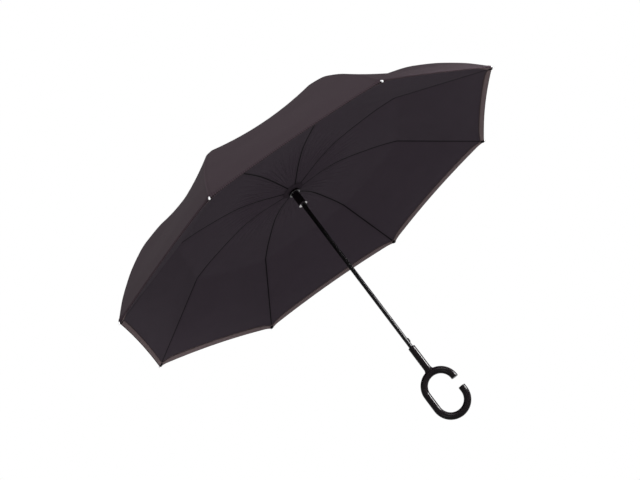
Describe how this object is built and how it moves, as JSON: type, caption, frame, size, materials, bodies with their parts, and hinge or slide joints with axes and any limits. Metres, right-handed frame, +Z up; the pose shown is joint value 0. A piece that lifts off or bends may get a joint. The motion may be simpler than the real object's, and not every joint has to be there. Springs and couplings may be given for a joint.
{
  "type": "inverted umbrella",
  "caption": "Inverted umbrella with a double fabric canopy on folding ribs, a sliding runner on a straight shaft and a C shaped handle.",
  "frame": {"origin": "the middle of the C of the handle, on the shaft's axis", "axes": "+Z up along the shaft, +X towards the mouth of the C, Y across the flat of the C"},
  "size_m": [1.0254, 1.0254, 0.7575],
  "materials": {
    "handle": "glossy black moulded plastic",
    "shaft": "glossy black enamel on steel tube",
    "steel": "plain steel",
    "silver": "bright nickel plate",
    "frame": "black enamel on steel",
    "rod": "black glass fibre rod",
    "nylon": "satin black nylon",
    "canopy": "plain woven polyester, dark grey black",
    "lining": "plain woven polyester, dark grey black"
  },
  "bodies": {
    "root": {"handle": "handle", "handle_pin": "steel", "shaft": "shaft", "crown": "nylon", "crown_wire": "steel", "top_cap": "nylon", "outer_canopy": "canopy"},
    "runner": {"runner": "nylon", "runner_ring": "silver", "inner_canopy": "lining"},
    "lower_catch": {"lower_catch": "steel"},
    "upper_catch": {"upper_catch": "steel"},
    "stretcher_1": {"stretcher_1": "frame"},
    "inner_rib_1": {"inner_rib_1": "frame"},
    "mid_rib_1": {"mid_rib_1": "rod"},
    "outer_rib_1": {"outer_rib_1": "rod", "tip_1": "silver"},
    "stretcher_2": {"stretcher_2": "frame"},
    "inner_rib_2": {"inner_rib_2": "frame"},
    "mid_rib_2": {"mid_rib_2": "rod"},
    "outer_rib_2": {"outer_rib_2": "rod", "tip_2": "silver"},
    "stretcher_3": {"stretcher_3": "frame"},
    "inner_rib_3": {"inner_rib_3": "frame"},
    "mid_rib_3": {"mid_rib_3": "rod"},
    "outer_rib_3": {"outer_rib_3": "rod", "tip_3": "silver"},
    "stretcher_4": {"stretcher_4": "frame"},
    "inner_rib_4": {"inner_rib_4": "frame"},
    "mid_rib_4": {"mid_rib_4": "rod"},
    "outer_rib_4": {"outer_rib_4": "rod", "tip_4": "silver"},
    "stretcher_5": {"stretcher_5": "frame"},
    "inner_rib_5": {"inner_rib_5": "frame"},
    "mid_rib_5": {"mid_rib_5": "rod"},
    "outer_rib_5": {"outer_rib_5": "rod", "tip_5": "silver"},
    "stretcher_6": {"stretcher_6": "frame"},
    "inner_rib_6": {"inner_rib_6": "frame"},
    "mid_rib_6": {"mid_rib_6": "rod"},
    "outer_rib_6": {"outer_rib_6": "rod", "tip_6": "silver"},
    "stretcher_7": {"stretcher_7": "frame"},
    "inner_rib_7": {"inner_rib_7": "frame"},
    "mid_rib_7": {"mid_rib_7": "rod"},
    "outer_rib_7": {"outer_rib_7": "rod", "tip_7": "silver"},
    "stretcher_8": {"stretcher_8": "frame"},
    "inner_rib_8": {"inner_rib_8": "frame"},
    "mid_rib_8": {"mid_rib_8": "rod"},
    "outer_rib_8": {"outer_rib_8": "rod", "tip_8": "silver"}
  },
  "joints": [
    {"name": "runner_slide", "type": "slide", "parent": "root", "child": "runner", "axis": [0, 0, 1], "range_m": [-0.4177, 0], "deforming": ["outer_canopy", "inner_canopy"]},
    {"name": "lower_catch_press", "type": "slide", "parent": "root", "child": "lower_catch", "axis": [1, 0, 0], "range_m": [-0.0021, 0], "stiffness_N_per_m": 500, "springref_m": 0.002},
    {"name": "upper_catch_press", "type": "slide", "parent": "root", "child": "upper_catch", "axis": [1, 0, 0], "range_m": [-0.0021, 0], "stiffness_N_per_m": 500, "springref_m": 0.002},
    {"name": "stretcher_1_fold", "type": "hinge", "parent": "root", "child": "stretcher_1", "pos_m": [0.01594, -0.00427, 0.677], "axis": [0.2588, 0.9659, 0], "range_deg": [0, 78.97]},
    {"name": "inner_rib_1_fold", "type": "hinge", "parent": "stretcher_1", "child": "inner_rib_1", "pos_m": [0.25251, -0.06766, 0.638], "axis": [0.2588, 0.9659, 0], "range_deg": [-157.92, 0]},
    {"name": "mid_rib_1_flex", "type": "hinge", "parent": "inner_rib_1", "child": "mid_rib_1", "pos_m": [0.26185, -0.07016, 0.63448], "axis": [0.2588, 0.9659, 0], "range_deg": [-23.07, 0]},
    {"name": "outer_rib_1_flex", "type": "hinge", "parent": "mid_rib_1", "child": "outer_rib_1", "pos_m": [0.3944, -0.10568, 0.60531], "axis": [0.2588, 0.9659, 0], "range_deg": [-33.22, 0]},
    {"name": "stretcher_2_fold", "type": "hinge", "parent": "root", "child": "stretcher_2", "pos_m": [0.01429, 0.00825, 0.677], "axis": [-0.5, 0.866, 0], "range_deg": [0, 78.97]},
    {"name": "inner_rib_2_fold", "type": "hinge", "parent": "stretcher_2", "child": "inner_rib_2", "pos_m": [0.22639, 0.13071, 0.638], "axis": [-0.5, 0.866, 0], "range_deg": [-157.92, 0]},
    {"name": "mid_rib_2_flex", "type": "hinge", "parent": "inner_rib_2", "child": "mid_rib_2", "pos_m": [0.23477, 0.13554, 0.63448], "axis": [-0.5, 0.866, 0], "range_deg": [-23.07, 0]},
    {"name": "outer_rib_2_flex", "type": "hinge", "parent": "mid_rib_2", "child": "outer_rib_2", "pos_m": [0.35361, 0.20416, 0.60531], "axis": [-0.5, 0.866, 0], "range_deg": [-33.22, 0]},
    {"name": "stretcher_3_fold", "type": "hinge", "parent": "root", "child": "stretcher_3", "pos_m": [0.00427, 0.01594, 0.677], "axis": [-0.9659, 0.2588, 0], "range_deg": [0, 78.97]},
    {"name": "inner_rib_3_fold", "type": "hinge", "parent": "stretcher_3", "child": "inner_rib_3", "pos_m": [0.06766, 0.25251, 0.638], "axis": [-0.9659, 0.2588, 0], "range_deg": [-157.92, 0]},
    {"name": "mid_rib_3_flex", "type": "hinge", "parent": "inner_rib_3", "child": "mid_rib_3", "pos_m": [0.07016, 0.26185, 0.63448], "axis": [-0.9659, 0.2588, 0], "range_deg": [-23.07, 0]},
    {"name": "outer_rib_3_flex", "type": "hinge", "parent": "mid_rib_3", "child": "outer_rib_3", "pos_m": [0.10568, 0.3944, 0.60531], "axis": [-0.9659, 0.2588, 0], "range_deg": [-33.22, 0]},
    {"name": "stretcher_4_fold", "type": "hinge", "parent": "root", "child": "stretcher_4", "pos_m": [-0.00825, 0.01429, 0.677], "axis": [-0.866, -0.5, 0], "range_deg": [0, 78.97]},
    {"name": "inner_rib_4_fold", "type": "hinge", "parent": "stretcher_4", "child": "inner_rib_4", "pos_m": [-0.13071, 0.22639, 0.638], "axis": [-0.866, -0.5, 0], "range_deg": [-157.92, 0]},
    {"name": "mid_rib_4_flex", "type": "hinge", "parent": "inner_rib_4", "child": "mid_rib_4", "pos_m": [-0.13554, 0.23477, 0.63448], "axis": [-0.866, -0.5, 0], "range_deg": [-23.07, 0]},
    {"name": "outer_rib_4_flex", "type": "hinge", "parent": "mid_rib_4", "child": "outer_rib_4", "pos_m": [-0.20416, 0.35361, 0.60531], "axis": [-0.866, -0.5, 0], "range_deg": [-33.22, 0]},
    {"name": "stretcher_5_fold", "type": "hinge", "parent": "root", "child": "stretcher_5", "pos_m": [-0.01594, 0.00427, 0.677], "axis": [-0.2588, -0.9659, 0], "range_deg": [0, 78.97]},
    {"name": "inner_rib_5_fold", "type": "hinge", "parent": "stretcher_5", "child": "inner_rib_5", "pos_m": [-0.25251, 0.06766, 0.638], "axis": [-0.2588, -0.9659, 0], "range_deg": [-157.92, 0]},
    {"name": "mid_rib_5_flex", "type": "hinge", "parent": "inner_rib_5", "child": "mid_rib_5", "pos_m": [-0.26185, 0.07016, 0.63448], "axis": [-0.2588, -0.9659, 0], "range_deg": [-23.07, 0]},
    {"name": "outer_rib_5_flex", "type": "hinge", "parent": "mid_rib_5", "child": "outer_rib_5", "pos_m": [-0.3944, 0.10568, 0.60531], "axis": [-0.2588, -0.9659, 0], "range_deg": [-33.22, 0]},
    {"name": "stretcher_6_fold", "type": "hinge", "parent": "root", "child": "stretcher_6", "pos_m": [-0.01429, -0.00825, 0.677], "axis": [0.5, -0.866, 0], "range_deg": [0, 78.97]},
    {"name": "inner_rib_6_fold", "type": "hinge", "parent": "stretcher_6", "child": "inner_rib_6", "pos_m": [-0.22639, -0.13071, 0.638], "axis": [0.5, -0.866, 0], "range_deg": [-157.92, 0]},
    {"name": "mid_rib_6_flex", "type": "hinge", "parent": "inner_rib_6", "child": "mid_rib_6", "pos_m": [-0.23477, -0.13554, 0.63448], "axis": [0.5, -0.866, 0], "range_deg": [-23.07, 0]},
    {"name": "outer_rib_6_flex", "type": "hinge", "parent": "mid_rib_6", "child": "outer_rib_6", "pos_m": [-0.35361, -0.20416, 0.60531], "axis": [0.5, -0.866, 0], "range_deg": [-33.22, 0]},
    {"name": "stretcher_7_fold", "type": "hinge", "parent": "root", "child": "stretcher_7", "pos_m": [-0.00427, -0.01594, 0.677], "axis": [0.9659, -0.2588, 0], "range_deg": [0, 78.97]},
    {"name": "inner_rib_7_fold", "type": "hinge", "parent": "stretcher_7", "child": "inner_rib_7", "pos_m": [-0.06766, -0.25251, 0.638], "axis": [0.9659, -0.2588, 0], "range_deg": [-157.92, 0]},
    {"name": "mid_rib_7_flex", "type": "hinge", "parent": "inner_rib_7", "child": "mid_rib_7", "pos_m": [-0.07016, -0.26185, 0.63448], "axis": [0.9659, -0.2588, 0], "range_deg": [-23.07, 0]},
    {"name": "outer_rib_7_flex", "type": "hinge", "parent": "mid_rib_7", "child": "outer_rib_7", "pos_m": [-0.10568, -0.3944, 0.60531], "axis": [0.9659, -0.2588, 0], "range_deg": [-33.22, 0]},
    {"name": "stretcher_8_fold", "type": "hinge", "parent": "root", "child": "stretcher_8", "pos_m": [0.00825, -0.01429, 0.677], "axis": [0.866, 0.5, 0], "range_deg": [0, 78.97]},
    {"name": "inner_rib_8_fold", "type": "hinge", "parent": "stretcher_8", "child": "inner_rib_8", "pos_m": [0.13071, -0.22639, 0.638], "axis": [0.866, 0.5, 0], "range_deg": [-157.92, 0]},
    {"name": "mid_rib_8_flex", "type": "hinge", "parent": "inner_rib_8", "child": "mid_rib_8", "pos_m": [0.13554, -0.23477, 0.63448], "axis": [0.866, 0.5, 0], "range_deg": [-23.07, 0]},
    {"name": "outer_rib_8_flex", "type": "hinge", "parent": "mid_rib_8", "child": "outer_rib_8", "pos_m": [0.20416, -0.35361, 0.60531], "axis": [0.866, 0.5, 0], "range_deg": [-33.22, 0]}
  ],
  "couplings": [
    {"joint": "stretcher_1_fold", "follows": "runner_slide", "rad_per_m": -3.299},
    {"joint": "inner_rib_1_fold", "follows": "runner_slide", "rad_per_m": 6.598},
    {"joint": "mid_rib_1_flex", "follows": "runner_slide", "rad_per_m": 0.96296},
    {"joint": "outer_rib_1_flex", "follows": "runner_slide", "rad_per_m": 1.3871},
    {"joint": "stretcher_2_fold", "follows": "runner_slide", "rad_per_m": -3.299},
    {"joint": "inner_rib_2_fold", "follows": "runner_slide", "rad_per_m": 6.598},
    {"joint": "mid_rib_2_flex", "follows": "runner_slide", "rad_per_m": 0.96296},
    {"joint": "outer_rib_2_flex", "follows": "runner_slide", "rad_per_m": 1.3871},
    {"joint": "stretcher_3_fold", "follows": "runner_slide", "rad_per_m": -3.299},
    {"joint": "inner_rib_3_fold", "follows": "runner_slide", "rad_per_m": 6.598},
    {"joint": "mid_rib_3_flex", "follows": "runner_slide", "rad_per_m": 0.96296},
    {"joint": "outer_rib_3_flex", "follows": "runner_slide", "rad_per_m": 1.3871},
    {"joint": "stretcher_4_fold", "follows": "runner_slide", "rad_per_m": -3.299},
    {"joint": "inner_rib_4_fold", "follows": "runner_slide", "rad_per_m": 6.598},
    {"joint": "mid_rib_4_flex", "follows": "runner_slide", "rad_per_m": 0.96296},
    {"joint": "outer_rib_4_flex", "follows": "runner_slide", "rad_per_m": 1.3871},
    {"joint": "stretcher_5_fold", "follows": "runner_slide", "rad_per_m": -3.299},
    {"joint": "inner_rib_5_fold", "follows": "runner_slide", "rad_per_m": 6.598},
    {"joint": "mid_rib_5_flex", "follows": "runner_slide", "rad_per_m": 0.96296},
    {"joint": "outer_rib_5_flex", "follows": "runner_slide", "rad_per_m": 1.3871},
    {"joint": "stretcher_6_fold", "follows": "runner_slide", "rad_per_m": -3.299},
    {"joint": "inner_rib_6_fold", "follows": "runner_slide", "rad_per_m": 6.598},
    {"joint": "mid_rib_6_flex", "follows": "runner_slide", "rad_per_m": 0.96296},
    {"joint": "outer_rib_6_flex", "follows": "runner_slide", "rad_per_m": 1.3871},
    {"joint": "stretcher_7_fold", "follows": "runner_slide", "rad_per_m": -3.299},
    {"joint": "inner_rib_7_fold", "follows": "runner_slide", "rad_per_m": 6.598},
    {"joint": "mid_rib_7_flex", "follows": "runner_slide", "rad_per_m": 0.96296},
    {"joint": "outer_rib_7_flex", "follows": "runner_slide", "rad_per_m": 1.3871},
    {"joint": "stretcher_8_fold", "follows": "runner_slide", "rad_per_m": -3.299},
    {"joint": "inner_rib_8_fold", "follows": "runner_slide", "rad_per_m": 6.598},
    {"joint": "mid_rib_8_flex", "follows": "runner_slide", "rad_per_m": 0.96296},
    {"joint": "outer_rib_8_flex", "follows": "runner_slide", "rad_per_m": 1.3871}
  ]
}
